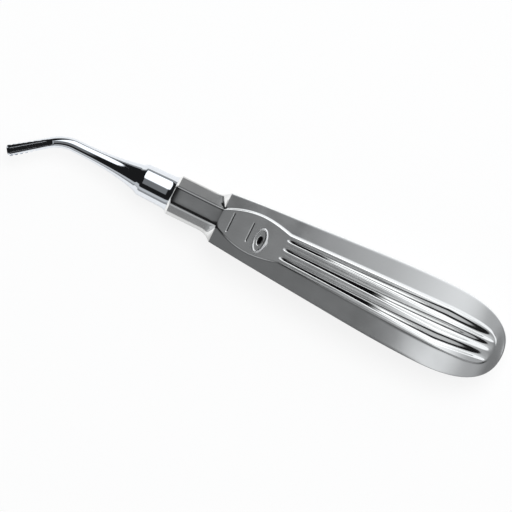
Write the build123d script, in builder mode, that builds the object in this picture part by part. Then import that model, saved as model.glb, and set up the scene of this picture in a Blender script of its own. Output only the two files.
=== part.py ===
from build123d import *
import os
from math import cos, radians, sin, tan

os.makedirs("parts", exist_ok=True)

# Dental elevator lying on the underside of its handle, millimetres.
# X runs from the tip to the butt, Z is up, and the blade bends towards -Y.
# Stations along the handle are measured from the front end of its neck.

# Blade
blade_length = 12.6
blade_width = 3.5
blade_root_width = 3.0
blade_root_height = 3.6
blade_tip_height = 1.9
blade_lift = 1.0
blade_rim_cut = 0.45
blade_steps = 4
tip_corner = 1.1
channel_width = 2.3
channel_depth = 0.8
channel_before_root = 2.2
tooth_count = 5
tooth_pitch = 1.5
tooth_depth = 0.3
tooth_radius = 0.45
tooth_from_tip = 1.7

# Shank and its bend
shank_dia = 3.85
shank_length = 21.5
shank_root_dia = 8.05
shank_root_slope = 14.0
bend_radius = 12.0
bend_angle = 37.0

# Collar and tang
collar_length = 9.5
collar_cone_length = 1.4
collar_front_dia = 9.55
collar_rear_dia = 9.95
collar_flare_dia = 10.6
collar_flare_length = 2.0
tang_dia = 6.0
tang_length = 24.0
tang_clearance = 0.05
tang_chamfer = 0.6

# Octagonal neck
neck_flats = 12.0
neck_length = 12.3
neck_chamfer_radial = 0.7
neck_chamfer_length = 0.9

# Handle body
handle_length = 106.0
shoulder_length = 3.2
shoulder_width = 15.7
shoulder_thickness = 12.2
outline_start_slope = 5.5
outline_swell = 0.5
widest_width = 24.84
butt_length = 21.4
butt_fullness = 0.66
body_thickness = 13.4
thickest_from_butt = 40.0
butt_edge_thickness = 4.0
butt_drop_length = 2.2
butt_drop_height = 3.2
crown_reach = 24.0
flank_fall = 3.5
edge_radius = 0.6

# Raised panel along the middle of each broad face
panel_relief = 0.12
panel_front_width = 5.0
panel_front_slope = 26.5
panel_bulge_width = 11.1
panel_bulge_from_shoulder = 11.5
panel_waist_width = 8.2
panel_waist_slope = 14.0
panel_waist_from_shoulder = 20.5
panel_rear_width = 11.7
panel_rear_from_butt = 19.0
panel_end_from_butt = 3.2
panel_end_fullness = 0.85

# Flutes pressed into each panel
flute_count = 3
flute_front_from_shoulder = 20.1
flute_nose_length = 2.0
flute_rear_from_butt = 20.0
flute_end_from_butt = 3.8
flute_front_pitch = 2.73
flute_rear_pitch = 3.75
flute_end_pitch = 2.9
flute_front_width = 1.3
flute_front_depth = 0.28
flute_rear_width = 3.5
flute_rear_depth = 1.0
flute_rear_drift = 0.2
flute_end_drift = 0.9
flute_run_out = 0.1
flute_steps = 12

# Oval mark and the two fine lines on the upper face
oval_from_shoulder = 13.1
oval_off_axis = -0.95
oval_rim_length = 8.9
oval_rim_width = 4.0
oval_rim_height = 0.12
oval_ring_length = 6.4
oval_ring_width = 2.9
oval_ring_depth = 0.25
oval_well_length = 2.75
oval_well_width = 1.3
oval_well_depth = 0.8
lines_from_shoulder = (3.3, 9.5)
line_length = 6.0
line_width = 0.3
line_depth = 0.12

# Places worked out from the sizes above
bend = radians(bend_angle)
blade_half = blade_width / 2
shank_end = -collar_length - shank_length
reach = (
    -shank_end
    + bend_radius * sin(bend)
    + (blade_length - tip_corner) * cos(bend)
    + (blade_half - tip_corner) * sin(bend)
    + tip_corner
)
neck_x = (reach - handle_length) / 2
axis_z = body_thickness / 2
body_start = neck_length + shoulder_length
widest_at = handle_length - butt_length
thickest_at = handle_length - thickest_from_butt
panel_bulge_at = body_start + panel_bulge_from_shoulder
panel_waist_at = body_start + panel_waist_from_shoulder
panel_rear_at = handle_length - panel_rear_from_butt
panel_end_at = handle_length - panel_end_from_butt
flute_front_at = body_start + flute_front_from_shoulder
flute_rear_at = handle_length - flute_rear_from_butt
flute_end_at = handle_length - flute_end_from_butt
oval_at = body_start + oval_from_shoulder
long_axis = Axis((neck_x, 0, axis_z), (1, 0, 0))
plan_plane = Plane(origin=(neck_x, 0, axis_z), x_dir=(1, 0, 0), z_dir=(0, 0, 1))
side_plane = Plane(origin=(neck_x, 0, axis_z), x_dir=(1, 0, 0), z_dir=(0, -1, 0))


def across(station):
    """Plane square to the handle at a station, with Y and Z as its axes."""
    return Plane(origin=(neck_x + station, 0, axis_z), x_dir=(0, 1, 0), z_dir=(1, 0, 0))


def round_bend(share, beyond_bend=0.0, lift=0.0):
    """Plane square to the shank, a share of the way round its bend or beyond it."""
    turn = bend * share
    return Plane(
        origin=(
            neck_x + shank_end - bend_radius * sin(turn) - beyond_bend * cos(turn),
            -bend_radius * (1 - cos(turn)) - beyond_bend * sin(turn),
            axis_z + lift,
        ),
        x_dir=(-sin(turn), cos(turn), 0),
        z_dir=(-cos(turn), -sin(turn), 0),
    )


def between(first, last, share):
    """Value at a share of the way from the first to the last."""
    return first + (last - first) * share


# Blank of the blade: round at the shank, oval and thin at the tip
with BuildPart() as blade:
    for share in (0, 0.5):
        with BuildSketch(round_bend(share)):
            Ellipse(
                between(shank_dia, blade_root_width, share) / 2,
                between(shank_dia, blade_root_height, share) / 2,
            )
    for step in range(blade_steps + 1):
        share = step / (blade_steps - 0.5)
        with BuildSketch(round_bend(1, blade_length * share, blade_lift * share)):
            Ellipse(
                between(blade_root_width, blade_width, share) / 2,
                between(blade_root_height, blade_tip_height, share) / 2,
            )
    loft()

    # The upper side is cut to a rim that runs from the root to the tip
    root = round_bend(1)
    blade_side = Plane(origin=root.origin, x_dir=root.z_dir, z_dir=-root.x_dir)
    rim_root = blade_root_height / 2 - blade_rim_cut / 2
    rim_tip = blade_lift + blade_tip_height / 2 - blade_rim_cut
    past_tip = blade_length + shank_dia
    with BuildSketch(blade_side):
        with BuildLine():
            Polyline(
                (-channel_before_root, rim_root),
                (0, rim_root),
                (blade_length, rim_tip),
                (past_tip, rim_tip),
                (past_tip, rim_root + shank_dia),
                (-channel_before_root, rim_root + shank_dia),
                close=True,
            )
        make_face()
    extrude(amount=blade_width, both=True, mode=Mode.SUBTRACT)

    # Channel with a round start, cut parallel to the rim
    channel_radius = (channel_width**2 / 4 + channel_depth**2) / (2 * channel_depth)
    channel_rise = channel_radius - channel_depth
    channel_start = blade_side.from_local_coords(
        Vector(channel_radius - channel_before_root, rim_root + channel_rise)
    )
    channel_finish = blade_side.from_local_coords(
        Vector(blade_length, rim_tip + channel_rise)
    )
    channel_plane = Plane(origin=channel_start, z_dir=channel_finish - channel_start)
    with BuildSketch(channel_plane):
        Circle(channel_radius)
    extrude(amount=past_tip, mode=Mode.SUBTRACT)
    with Locations(channel_plane):
        Sphere(channel_radius, mode=Mode.SUBTRACT)

    # Rounded tip, and a row of teeth down each side of it
    blade_plan = Plane(origin=root.origin, x_dir=root.z_dir, z_dir=(0, 0, 1))
    with BuildSketch(blade_plan) as blade_outline:
        with Locations((blade_length / 2, 0)):
            Rectangle(blade_length, blade_width)
        fillet(blade_outline.vertices().group_by(Axis.X)[-1], tip_corner)
        with Locations((-bend_radius, 0)):
            Rectangle(2 * bend_radius, 4 * bend_radius)
        for tooth in range(tooth_count):
            place = blade_length - tooth_from_tip - tooth * tooth_pitch
            half = between(blade_root_width, blade_width, place / blade_length) / 2
            for side in (1, -1):
                with Locations((place, side * (half + tooth_radius - tooth_depth))):
                    Circle(tooth_radius, mode=Mode.SUBTRACT)
    extrude(amount=2 * shank_dia, both=True, mode=Mode.INTERSECT)

# Shank, collar and tang, one piece with the blade
with BuildPart() as working_end:
    add(blade.part)
    with BuildSketch(side_plane):
        with BuildLine():
            cone_start = -collar_length - collar_cone_length
            slope = radians(shank_root_slope)
            Line((shank_end, 0), (shank_end, shank_dia / 2))
            Spline(
                (shank_end, shank_dia / 2),
                (cone_start, shank_root_dia / 2),
                tangents=[(1, 0), (cos(slope), sin(slope))],
            )
            Line((cone_start, shank_root_dia / 2), (-collar_length, collar_front_dia / 2))
            Line(
                (-collar_length, collar_front_dia / 2),
                (-collar_flare_length, collar_rear_dia / 2),
            )
            Spline(
                (-collar_flare_length, collar_rear_dia / 2),
                (0, collar_flare_dia / 2),
                tangents=[(1, 0), (1, 1)],
            )
            Polyline(
                (0, collar_flare_dia / 2),
                (0, tang_dia / 2),
                (tang_length - tang_chamfer, tang_dia / 2),
                (tang_length, tang_dia / 2 - tang_chamfer),
                (tang_length, 0),
                (shank_end, 0),
            )
        make_face()
    revolve(axis=long_axis)

working_end.part.label = "working_end"
export_step(working_end.part, "parts/working_end.step")

# Crown of the broad faces, seen from the side: a shallow arch, then the drop to the butt
shoulder_half = shoulder_thickness / 2
body_half = body_thickness / 2
butt_half = butt_edge_thickness / 2
crown_poles = (
    (thickest_at, body_half),
    (thickest_at + crown_reach, body_half),
    (handle_length - butt_drop_length, butt_half + butt_drop_height),
    (handle_length, butt_half),
)


def crown_butt_point(share):
    """Station and height of the crown at a share of its drop to the butt."""
    rest = 1 - share
    weights = (rest**3, 3 * rest**2 * share, 3 * rest * share**2, share**3)
    return tuple(sum(w * pole[i] for w, pole in zip(weights, crown_poles)) for i in (0, 1))


def crown_height(station):
    """Height of the crown above the middle of the handle at a station."""
    if station <= thickest_at:
        share = (thickest_at - station) / (thickest_at - body_start)
        return body_half - (body_half - shoulder_half) * share**2
    low, high = 0.0, 1.0
    for _ in range(40):
        middle = (low + high) / 2
        if crown_butt_point(middle)[0] < station:
            low = middle
        else:
            high = middle
    return crown_butt_point(low)[1]


def crown_outline(sink, side=1):
    """Draws the side outline from the crown inwards, lowered all along by sink."""
    middle = (body_start + thickest_at) / 2
    Bezier(
        (body_start, side * (shoulder_half - sink)),
        (middle, side * (body_half - sink)),
        (thickest_at, side * (body_half - sink)),
    )
    Bezier(*[(x, side * (z - sink)) for x, z in crown_poles])
    Polyline(
        (handle_length, side * (butt_half - sink)),
        (handle_length, -side * body_thickness),
        (body_start, -side * body_thickness),
        (body_start, side * (shoulder_half - sink)),
    )


# One half of the body, from the middle plane to the +Y edge
with BuildPart() as body_half_shell:
    fall = radians(flank_fall)
    start_half = shoulder_width / 2
    widest_half = widest_width / 2
    slope = radians(outline_start_slope)
    with BuildSketch(plan_plane):
        with BuildLine():
            Line((body_start, 0), (body_start, start_half))
            Spline(
                (body_start, start_half),
                (
                    (body_start + widest_at) / 2,
                    (start_half + widest_half) / 2 + outline_swell,
                ),
                (widest_at, widest_half),
                tangents=[(cos(slope), sin(slope)), (1, 0)],
            )
            Bezier(
                (widest_at, widest_half),
                (widest_at + butt_fullness * butt_length, widest_half),
                (handle_length, butt_fullness * widest_half),
                (handle_length, 0),
            )
            Line((handle_length, 0), (body_start, 0))
        make_face()
    extrude(amount=body_thickness, both=True)
    for side in (1, -1):
        with BuildSketch(side_plane):
            with BuildLine():
                crown_outline(panel_relief, side)
            make_face()
        extrude(
            amount=widest_width,
            dir=(0, cos(fall), -side * sin(fall)),
            mode=Mode.INTERSECT,
        )
    outline_edges = body_half_shell.edges().filter_by(
        lambda edge: edge.center().Y > edge_radius and edge.bounding_box().size.X > edge_radius
    )
    fillet(outline_edges, edge_radius)

# Panel with a pointed-oval front and a long fluted rear, up to the crown
with BuildPart() as panel:
    with BuildSketch(plan_plane):
        with BuildLine():
            front_half = panel_front_width / 2
            bulge_half = panel_bulge_width / 2
            waist_half = panel_waist_width / 2
            rear_half = panel_rear_width / 2
            end_run = panel_end_at - panel_rear_at
            Line((body_start, 0), (body_start, front_half))
            Spline(
                (body_start, front_half),
                (panel_bulge_at, bulge_half),
                (panel_waist_at, waist_half),
                tangents=[
                    (1, tan(radians(panel_front_slope))),
                    (1, -tan(radians(panel_waist_slope))),
                ],
            )
            Line((panel_waist_at, waist_half), (panel_rear_at, rear_half))
            Bezier(
                (panel_rear_at, rear_half),
                (panel_rear_at + panel_end_fullness * end_run, rear_half),
                (panel_end_at, panel_end_fullness * rear_half),
                (panel_end_at, 0),
            )
            Line((panel_end_at, 0), (body_start, 0))
        make_face()
        mirror(about=Plane.XZ)
    extrude(amount=body_thickness, both=True)
    for side in (1, -1):
        with BuildSketch(side_plane):
            with BuildLine():
                crown_outline(0, side)
            make_face()
        extrude(amount=widest_width, both=True, mode=Mode.INTERSECT)


def groove_radius(width, depth):
    """Radius of the round groove that is this wide and deep."""
    return (width**2 / 4 + depth**2) / (2 * depth)


# Round-bottomed grooves that widen towards the butt and run out on its crown
front_radius = groove_radius(flute_front_width, flute_front_depth)
rear_radius = groove_radius(flute_rear_width, flute_rear_depth)


def flute_section(station):
    """Pitch, sideways drift, radius and depth of the flutes at a station."""
    to_nose = min(1, (station - flute_front_at) / flute_nose_length)
    to_rear = min(1, (station - flute_front_at) / (flute_rear_at - flute_front_at))
    to_end = max(0, (station - flute_rear_at) / (flute_end_at - flute_rear_at))
    pitch = between(flute_front_pitch, flute_rear_pitch, to_rear)
    pitch = between(pitch, flute_end_pitch, to_end)
    drift = between(flute_rear_drift * to_rear**4, flute_end_drift, to_end)
    radius = between(front_radius, rear_radius, to_rear)
    depth = between(flute_front_depth, flute_rear_depth, to_rear)
    depth = between(-flute_run_out, depth, to_nose)
    depth = between(depth, -flute_run_out, to_end**2)
    return pitch, drift, radius, depth


flute_stations = [
    between(flute_front_at, flute_end_at, step / flute_steps)
    for step in range(flute_steps + 1)
]
with BuildPart() as flutes:
    for side in (1, -1):
        for flute in range(flute_count):
            row = flute - (flute_count - 1) / 2
            sections = []
            for station in flute_stations:
                pitch, drift, radius, depth = flute_section(station)
                height = crown_height(station) - depth + radius
                with BuildSketch(across(station)) as section:
                    with Locations((row * pitch + drift, side * height)):
                        Circle(radius)
                sections.append(section.sketch)
            loft(sections, ruled=True)


def octagon(flats):
    """Corners of a regular octagon, anticlockwise from the one beside +Y."""
    far = flats / 2
    near = far * tan(radians(22.5))
    return (
        (far, near),
        (near, far),
        (-near, far),
        (-far, near),
        (-far, -near),
        (-near, -far),
        (near, -far),
        (far, -near),
    )


# Corners of the section where the shoulder meets the body, in the same order
shoulder_edge = shoulder_half - panel_relief - start_half * tan(fall) - edge_radius / 3
shoulder_side = start_half - edge_radius / 3
shoulder_corners = (
    (shoulder_side, shoulder_edge),
    (front_half, shoulder_half),
    (-front_half, shoulder_half),
    (-shoulder_side, shoulder_edge),
    (-shoulder_side, -shoulder_edge),
    (-front_half, -shoulder_half),
    (front_half, -shoulder_half),
    (shoulder_side, -shoulder_edge),
)

# Handle: chamfered octagonal neck, flared shoulder, body, panels and flutes
with BuildPart() as handle:
    for station, corners in (
        (0, octagon(neck_flats - 2 * neck_chamfer_radial)),
        (neck_chamfer_length, octagon(neck_flats)),
        (neck_length, octagon(neck_flats)),
        (body_start, shoulder_corners),
    ):
        with BuildSketch(across(station)):
            Polygon(*corners, align=None)
    loft(ruled=True)
    add(body_half_shell.part)
    mirror(body_half_shell.part, about=Plane.XZ)
    add(panel.part)
    add(flutes.part, mode=Mode.SUBTRACT)

    # Oval mark: a low raised rim round a stepped well
    oval_top = crown_height(oval_at) + oval_rim_height
    for length, width, depth, mode in (
        (oval_rim_length, oval_rim_width, oval_rim_height + oval_ring_depth, Mode.ADD),
        (oval_ring_length, oval_ring_width, oval_rim_height + oval_ring_depth, Mode.SUBTRACT),
        (oval_well_length, oval_well_width, oval_rim_height + oval_well_depth, Mode.SUBTRACT),
    ):
        with BuildSketch(plan_plane.offset(oval_top)):
            with Locations((oval_at, oval_off_axis)):
                Ellipse(width / 2, length / 2)
        extrude(amount=-depth, mode=mode)

    # Two fine engraved lines across the panel
    for from_shoulder in lines_from_shoulder:
        place = body_start + from_shoulder
        with BuildSketch(plan_plane.offset(crown_height(place) - line_depth)):
            with Locations((place, 0)):
                Rectangle(line_width, line_length)
        extrude(amount=oval_rim_height + 2 * line_depth, mode=Mode.SUBTRACT)

    # Blind bore for the tang
    with BuildSketch(across(0)):
        Circle(tang_dia / 2 + tang_clearance)
    extrude(amount=tang_length + tang_clearance, mode=Mode.SUBTRACT)

handle.part.label = "handle"
export_step(handle.part, "parts/handle.step")
print("total length", reach + handle_length)
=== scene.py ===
"""A dental elevator: a polished working end in a satin, fluted handle, in a plain studio."""

from functools import lru_cache
from math import atan2, cos, hypot, pi, radians, sin, sqrt, tan

import bmesh
import bpy
from bpy.props import FloatProperty, FloatVectorProperty, IntProperty, PointerProperty
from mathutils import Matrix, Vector


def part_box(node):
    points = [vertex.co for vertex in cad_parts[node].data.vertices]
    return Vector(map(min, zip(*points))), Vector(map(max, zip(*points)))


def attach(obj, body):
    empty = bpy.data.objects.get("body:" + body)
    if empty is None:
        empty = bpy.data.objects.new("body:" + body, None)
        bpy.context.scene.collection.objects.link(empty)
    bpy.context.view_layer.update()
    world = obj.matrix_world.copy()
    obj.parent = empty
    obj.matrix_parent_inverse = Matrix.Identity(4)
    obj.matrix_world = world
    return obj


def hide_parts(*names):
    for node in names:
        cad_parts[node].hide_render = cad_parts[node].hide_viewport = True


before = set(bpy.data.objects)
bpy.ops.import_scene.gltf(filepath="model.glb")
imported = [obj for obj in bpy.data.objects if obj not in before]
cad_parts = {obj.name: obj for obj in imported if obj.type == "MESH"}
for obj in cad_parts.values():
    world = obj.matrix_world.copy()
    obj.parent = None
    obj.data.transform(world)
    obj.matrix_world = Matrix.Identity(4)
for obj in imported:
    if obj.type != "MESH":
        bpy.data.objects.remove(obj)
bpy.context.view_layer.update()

bl_info = {
    "name": "Dental Elevator",
    "version": (1, 0, 0),
    "blender": (4, 5, 0),
    "location": "View3D > Sidebar > Elevator",
    "description": "Builds a bent dental elevator with a fluted handle, and a plain studio",
    "category": "Object",
}

MM = 0.001
ROUND_TO = 9
HANDLE_LOW, HANDLE_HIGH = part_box("handle")
NECK_X = HANDLE_LOW.x
AXIS_Z = (HANDLE_LOW.z + HANDLE_HIGH.z) / 2
HANDLE_LENGTH = HANDLE_HIGH.x - HANDLE_LOW.x
BODY_WIDTH = HANDLE_HIGH.y - HANDLE_LOW.y
BODY_THICKNESS = HANDLE_HIGH.z - HANDLE_LOW.z


def length(name, description, millimetres):
    """A size that a user can change, given in millimetres and kept in metres."""
    return FloatProperty(
        name=name,
        description=description,
        default=millimetres * MM,
        precision=5,
        unit="LENGTH",
    )


def share(name, description, value):
    """A plain factor that a user can change."""
    return FloatProperty(name=name, description=description, default=value, subtype="FACTOR")


def angle(name, description, degrees):
    """An angle that a user can change, given in degrees."""
    return FloatProperty(
        name=name, description=description, default=radians(degrees), subtype="ANGLE"
    )


def colour(name, description, value):
    """A colour that a user can change."""
    return FloatVectorProperty(
        name=name, description=description, default=value, subtype="COLOR", size=3
    )


class HandleSizes(bpy.types.PropertyGroup):
    """Sizes of the neck, the shoulder and the flattened body."""

    neck_flats: length("Neck flats", "Width across the flats of the neck", 12.0)
    fall_round: length("Fall rounding", "Radius that softens the flanks' meeting", 3.0)
    neck_edge: length("Neck edge", "Radius of the neck's lower edges", 3.2)
    neck_crisp: length("Neck crisp edge", "Radius of the neck's crisp edges", 0.5)
    neck_length: length("Neck length", "From the neck's front to where it flares", 11.4)
    neck_chamfer: length("Neck chamfer", "How far the front of the neck is cut back", 0.7)
    neck_chamfer_length: length("Chamfer length", "Length of the neck's front chamfer", 0.66)
    body_start: length("Body start", "From the neck's front to the body", 15.5)
    bore_radius: length("Bore radius", "Radius of the blind bore for the tang", 3.05)
    bore_depth: length("Bore depth", "Depth of the blind bore", 24.05)
    shoulder_width: length("Shoulder width", "Width of the body at its front", 15.7)
    shoulder_thickness: length("Shoulder thickness", "Thickness of the body at its front", 12.2)
    start_slope: angle("Start slope", "How fast the body widens at its front", 5.5)
    swell: length("Swell", "How far the sides swell between the shoulder and the butt", 0.5)
    butt_length: length("Butt length", "Length of the rounded end", 21.4)
    butt_fullness: share("Butt fullness", "How square the rounded end is", 0.66)
    thickest_from_butt: length("Thickest point", "From the butt to the thickest point", 40.0)
    butt_edge: length("Butt edge", "Thickness at the very end", 4.0)
    butt_drop_length: length("Drop length", "Length of the steep drop at the end", 2.2)
    butt_drop_height: length("Drop height", "Height of the steep drop at the end", 3.2)
    crown_reach: length("Crown reach", "How far the flat crown reaches towards the butt", 24.0)
    flank_fall: angle("Flank fall", "How much each flank falls away from the middle", 3.5)
    edge_radius: length("Edge radius", "Radius between the flanks and the sides", 0.18)
    side_bulge: length("Side bulge", "How far the sides bulge at their middle", 0.03)


class PanelSizes(bpy.types.PropertyGroup):
    """Sizes of the raised panel on each broad face, and of the marks on the upper one."""

    relief_loss: share("Relief loss", "Share of the relief lost beside the flutes", 0.7)
    relief: length("Relief", "Height of the panel over the flanks", 0.035)
    border: length("Border", "Width of the slope around the panel", 0.4)
    front_width: length("Front width", "Width at the shoulder", 5.0)
    front_slope: angle("Front slope", "How fast the panel widens at the shoulder", 26.5)
    bulge_width: length("Bulge width", "Width of the pointed oval", 11.1)
    bulge_from_shoulder: length("Bulge place", "From the shoulder to the widest place", 11.5)
    waist_width: length("Waist width", "Width where the flutes start", 8.2)
    waist_slope: angle("Waist slope", "How fast the panel narrows to the waist", 14.0)
    waist_from_shoulder: length("Waist place", "From the shoulder to the waist", 20.5)
    rear_width: length("Rear width", "Width towards the butt", 11.7)
    rear_from_butt: length("Rear place", "From the butt to where the panel closes in", 19.0)
    end_from_butt: length("End place", "From the butt to the end of the panel", 3.2)
    end_fullness: share("End fullness", "How square the end of the panel is", 0.85)
    oval_from_shoulder: length("Oval place", "From the shoulder to the oval mark", 13.1)
    oval_off_axis: length("Oval offset", "How far the oval lies off the middle", -0.95)
    oval_ring_length: length("Oval length", "Length of the oval's step, across the handle", 6.4)
    oval_ring_width: length("Oval width", "Width of the oval's step", 2.9)
    oval_rim: length("Oval rim", "Width of the raised rim around the oval", 0.6)
    oval_rim_height: length("Rim height", "Height of the raised rim", 0.12)
    oval_wall: length("Oval wall", "Half the width of the oval's sloping walls", 0.16)
    oval_step: length("Oval step", "Depth of the oval's step", 0.25)
    oval_well_length: length("Well length", "Length of the well in the oval", 2.75)
    oval_well_width: length("Well width", "Width of the well in the oval", 1.3)
    oval_well_depth: length("Well depth", "Depth of the well", 0.8)
    line_front: length("Front line", "From the shoulder to the first fine line", 3.3)
    line_rear: length("Rear line", "From the shoulder to the second fine line", 9.5)
    line_length: length("Line length", "Length of the fine lines", 6.0)
    line_width: length("Line width", "Width of the fine lines", 0.3)
    line_depth: length("Line depth", "Depth of the fine lines", 0.12)


class FluteSizes(bpy.types.PropertyGroup):
    """Sizes of the flutes pressed into each panel."""

    count: IntProperty(name="Count", description="Number of flutes on a face", default=3, min=1)
    front_from_shoulder: length("Front", "From the shoulder to the front of the flutes", 20.1)
    rear_from_butt: length("Rear", "From the butt to the deepest place", 20.0)
    end_from_butt: length("End", "From the butt to where the flutes run out", 3.8)
    nose: length("Nose", "Length over which a flute starts", 2.0)
    front_pitch: length("Front pitch", "Distance between flutes at the front", 2.73)
    rear_pitch: length("Rear pitch", "Distance between flutes at the deepest place", 3.75)
    end_pitch: length("End pitch", "Distance between flutes at the end", 2.9)
    front_width: length("Front width", "Width of a flute at the front", 0.95)
    rear_width: length("Rear width", "Width of a flute at the deepest place", 3.6)
    front_depth: length("Front depth", "Depth of a flute at the front", 0.22)
    rear_depth: length("Rear depth", "Depth of a flute at the deepest place", 1.12)
    pin_depth: length("Pinstripe depth", "Depth of the fine stripes on the ridges", 0.006)
    pin_pitch: length("Pinstripe pitch", "Distance between the fine stripes", 0.91)
    rear_drift: length("Rear drift", "Sideways drift at the deepest place", 0.2)
    end_drift: length("End drift", "Sideways drift at the end", 0.9)
    lean: share("Lean", "How far the bottom of the middle flute lies to one side", 0.06)
    outer_lean: share("Outer lean", "How much further the outer flutes lean", 0.36)
    front_lean: share("Front lean", "How far the bottoms lie to one side at the front", 0.4)


class WorkingSizes(bpy.types.PropertyGroup):
    """Sizes of the blade, the shank, the collar and the tang."""

    tang_radius: length("Tang radius", "Radius of the hidden tang", 3.0)
    tang_length: length("Tang length", "Length of the hidden tang", 24.0)
    tang_chamfer: length("Tang chamfer", "Chamfer at the end of the tang", 0.6)
    collar_length: length("Collar length", "Length of the collar", 9.5)
    cone_length: length("Cone length", "Length of the cone before the collar", 1.4)
    collar_front: length("Collar front", "Diameter at the front of the collar", 9.55)
    collar_rear: length("Collar rear", "Diameter before the collar's flare", 9.95)
    flare: length("Flare", "Diameter where the collar meets the neck", 10.6)
    flare_slope: share("Flare slope", "Slope at the end of the flare", 0.42)
    flare_length: length("Flare length", "Length of the collar's flare", 2.0)
    shank: length("Shank", "Diameter of the shank at the bend", 3.85)
    shank_length: length("Shank length", "From the bend to the collar", 21.5)
    shank_root: length("Shank root", "Diameter of the shank at the cone", 8.05)
    shank_root_slope: angle("Root slope", "How fast the shank widens at the cone", 14.0)
    bend_radius: length("Bend radius", "Radius of the bend", 12.0)
    bend_angle: angle("Bend angle", "Angle between the blade and the handle", 37.0)
    blade_length: length("Blade length", "From the bend to the tip", 12.6)
    blade_width: length("Blade width", "Width of the blade at its tip", 3.5)
    root_width: length("Root width", "Width of the blade at its root", 3.0)
    root_height: length("Root height", "Height of the blade at its root", 3.6)
    tip_height: length("Tip height", "Height of the blank at the tip", 1.9)
    lift: length("Lift", "How far the tip is lifted", 1.0)
    rim_cut: length("Rim cut", "How far the blank's top is cut down", 0.45)
    tip_corner: length("Tip corner", "Radius of the corners of the tip", 1.1)
    channel_depth: length("Channel depth", "Depth of the channel", 0.42)
    channel_lead: length("Channel lead", "How far the channel starts before the blade", 0.9)
    tooth_count: IntProperty(name="Teeth", description="Teeth on each side", default=5, min=0)
    tooth_pitch: length("Tooth pitch", "Distance between the teeth", 1.5)
    tooth_depth: length("Tooth depth", "Depth of the notches", 0.3)
    tooth_radius: length("Tooth radius", "Radius of the notches", 0.45)
    tooth_from_tip: length("Tooth place", "From the tip to the first notch", 1.7)


class Finish(bpy.types.PropertyGroup):
    """Colours of the two steels, and of the painted shade in the grooves, the marks and along the
    neck's edge.
    """

    satin: colour("Satin steel", "Colour of the handle", (0.72, 0.72, 0.715))
    bright: colour("Bright steel", "Colour of the panels and edges", (0.95, 0.95, 0.94))
    rim: colour("Rim", "Colour of the matt rim around the oval", (1.0, 1.0, 1.0))
    polished: colour("Polished steel", "Colour of the working end", (0.86, 0.89, 0.93))
    # Painted shade: this near-black colour stands for the shade in the flutes' narrow grooves, the
    # marks' recesses and along the neck's edge
    painted_shade: colour("Painted Shade", "Colour of the painted shade in the grooves and marks", (0.012, 0.012, 0.013))
    floor: colour("Floor", "Colour of the floor", (0.9, 0.9, 0.9))


# Small helpers for shapes


def between(first, last, part):
    """Value at a part of the way from the first to the last."""
    return first + (last - first) * part


def smooth(value, low, high):
    """Rises smoothly from 0 to 1 as the value goes from low to high."""
    part = min(1.0, max(0.0, (value - low) / (high - low)))
    return part * part * (3 - 2 * part)


def bezier(poles, part):
    """Point of a cubic Bezier curve at a part of its run."""
    rest = 1 - part
    weights = (rest**3, 3 * rest**2 * part, 3 * rest * part**2, part**3)
    return tuple(sum(w * pole[i] for w, pole in zip(weights, poles)) for i in (0, 1))


def bezier_part(poles, axis, value):
    """Part of a Bezier curve's run where one of its coordinates has a value."""
    low, high = 0.0, 1.0
    rising = poles[3][axis] > poles[0][axis]
    for _ in range(36):
        middle = (low + high) / 2
        if (bezier(poles, middle)[axis] < value) == rising:
            low = middle
        else:
            high = middle
    return (low + high) / 2


def hermite(start, finish, start_slope, finish_slope, place):
    """Height of a cubic curve between two points with given slopes."""
    run = finish[0] - start[0]
    part = (place - start[0]) / run
    rest = 1 - part
    return (
        start[1] * (1 + 2 * part) * rest**2
        + finish[1] * (3 - 2 * part) * part**2
        + run * start_slope * part * rest**2
        - run * finish_slope * rest * part**2
    )


def spread(start, runs):
    """Stations from the start through each run's end, about as far apart as the run's gap."""
    stations = [start]
    for finish, gap in runs:
        count = max(1, round(abs(finish - start) / gap))
        stations += [between(start, finish, (i + 1) / count) for i in range(count)]
        start = finish
    return stations


def new_piece(name, points, faces, sharp_angle):
    """A smooth-shaded mesh object at the origin, with its normals outwards."""
    mesh = bpy.data.meshes.new(name)
    mesh.from_pydata(points, [], faces)
    work = bmesh.new()
    work.from_mesh(mesh)
    bmesh.ops.recalc_face_normals(work, faces=work.faces)
    work.to_mesh(mesh)
    work.free()
    mesh.shade_smooth()
    mesh.set_sharp_from_angle(angle=sharp_angle)
    piece = bpy.data.objects.new(name, mesh)
    bpy.context.scene.collection.objects.link(piece)
    return piece


def give_attribute(piece, name, values):
    """Stores one number for each point of a piece."""
    attribute = piece.data.attributes.new(name, "FLOAT", "POINT")
    attribute.data.foreach_set("value", values)


# Node trees


def give(socket, value):
    """Links a value or another node's socket to an input, or sets the input's own number."""
    if isinstance(value, Value):
        value = value.socket
    if isinstance(value, bpy.types.NodeSocket):
        socket.id_data.links.new(value, socket)
    else:
        socket.default_value = value


def fill(node, inputs):
    """Gives some of a node's inputs, by name or number, and returns the node."""
    for name, value in dict(inputs).items():
        give(node.inputs[name], value)
    return node


def add(tree, kind, inputs=(), **settings):
    """A new node with its settings and some of its inputs."""
    node = tree.nodes.new(kind)
    for name, value in settings.items():
        setattr(node, name, value)
    return fill(node, inputs)


class Value:
    """What a node puts out, so that sums on it read as plain arithmetic."""

    def __init__(self, socket):
        self.socket = socket

    def __add__(self, other):
        return maths("ADD", self, other)

    def __sub__(self, other):
        return maths("SUBTRACT", self, other)

    def __rsub__(self, other):
        return maths("SUBTRACT", other, self)

    def __radd__(self, other):
        return maths("ADD", other, self)

    def __mul__(self, other):
        return maths("MULTIPLY", self, other)

    def __truediv__(self, other):
        return maths("DIVIDE", self, other)

    def __pow__(self, other):
        return maths("POWER", self, other)

    def __abs__(self):
        return maths("ABSOLUTE", self)

    def __neg__(self):
        return maths("MULTIPLY", self, -1.0)


def tree_of(values):
    """Tree that the first of some values belongs to, numbers left aside."""
    return next(value.socket.id_data for value in values if isinstance(value, Value))


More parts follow.
